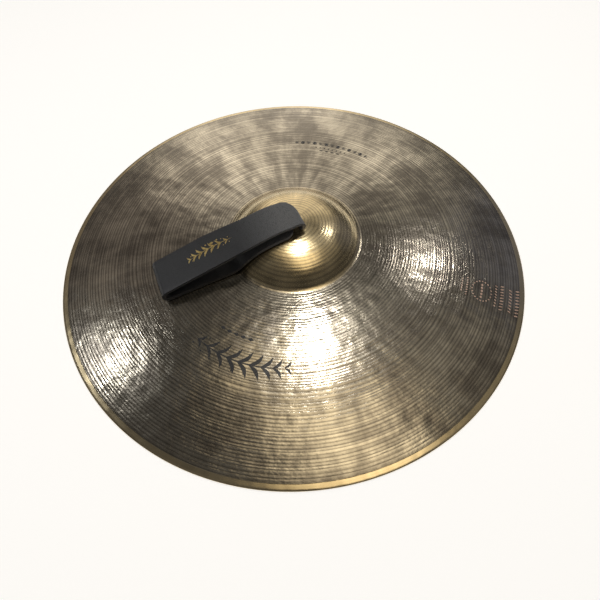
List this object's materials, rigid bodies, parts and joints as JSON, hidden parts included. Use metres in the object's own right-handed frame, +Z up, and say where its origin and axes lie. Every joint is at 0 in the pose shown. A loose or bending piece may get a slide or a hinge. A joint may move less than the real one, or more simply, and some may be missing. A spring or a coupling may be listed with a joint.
{
  "type": "hand cymbal",
  "caption": "Lathed and hammered bronze hand cymbal with a raised bell and a folded leather hand strap knotted inside the bell.",
  "frame": {"origin": "on the axis of the plate, in the plane that the rim rests on", "axes": "+Z up along the axis of the plate, out of the bell; the strap lies along -X"},
  "size_m": [0.4572, 0.4572, 0.0633],
  "materials": {
    "bronze": "lathed B20 bronze with a light brown patina",
    "strap_leather": "black, waxed, smooth grain with painted edges"
  },
  "bodies": {
    "cymbal": {"cymbal_plate": "bronze"},
    "strap_knot": {"thong_front": "strap_leather", "thong_right": "strap_leather", "thong_back": "strap_leather", "thong_left": "strap_leather"},
    "handle": {"handle_band": "strap_leather", "neck_fold": "strap_leather"}
  },
  "joints": [
    {"name": "strap_swivel", "type": "hinge", "parent": "cymbal", "child": "strap_knot", "pos_m": [0, 0, 0.048], "axis": [0, 0, 1], "continuous": true},
    {"name": "strap_fold", "type": "hinge", "parent": "strap_knot", "child": "handle", "pos_m": [0, 0, 0.05585], "axis": [0, 1, 0], "range_deg": [0, 180]}
  ]
}
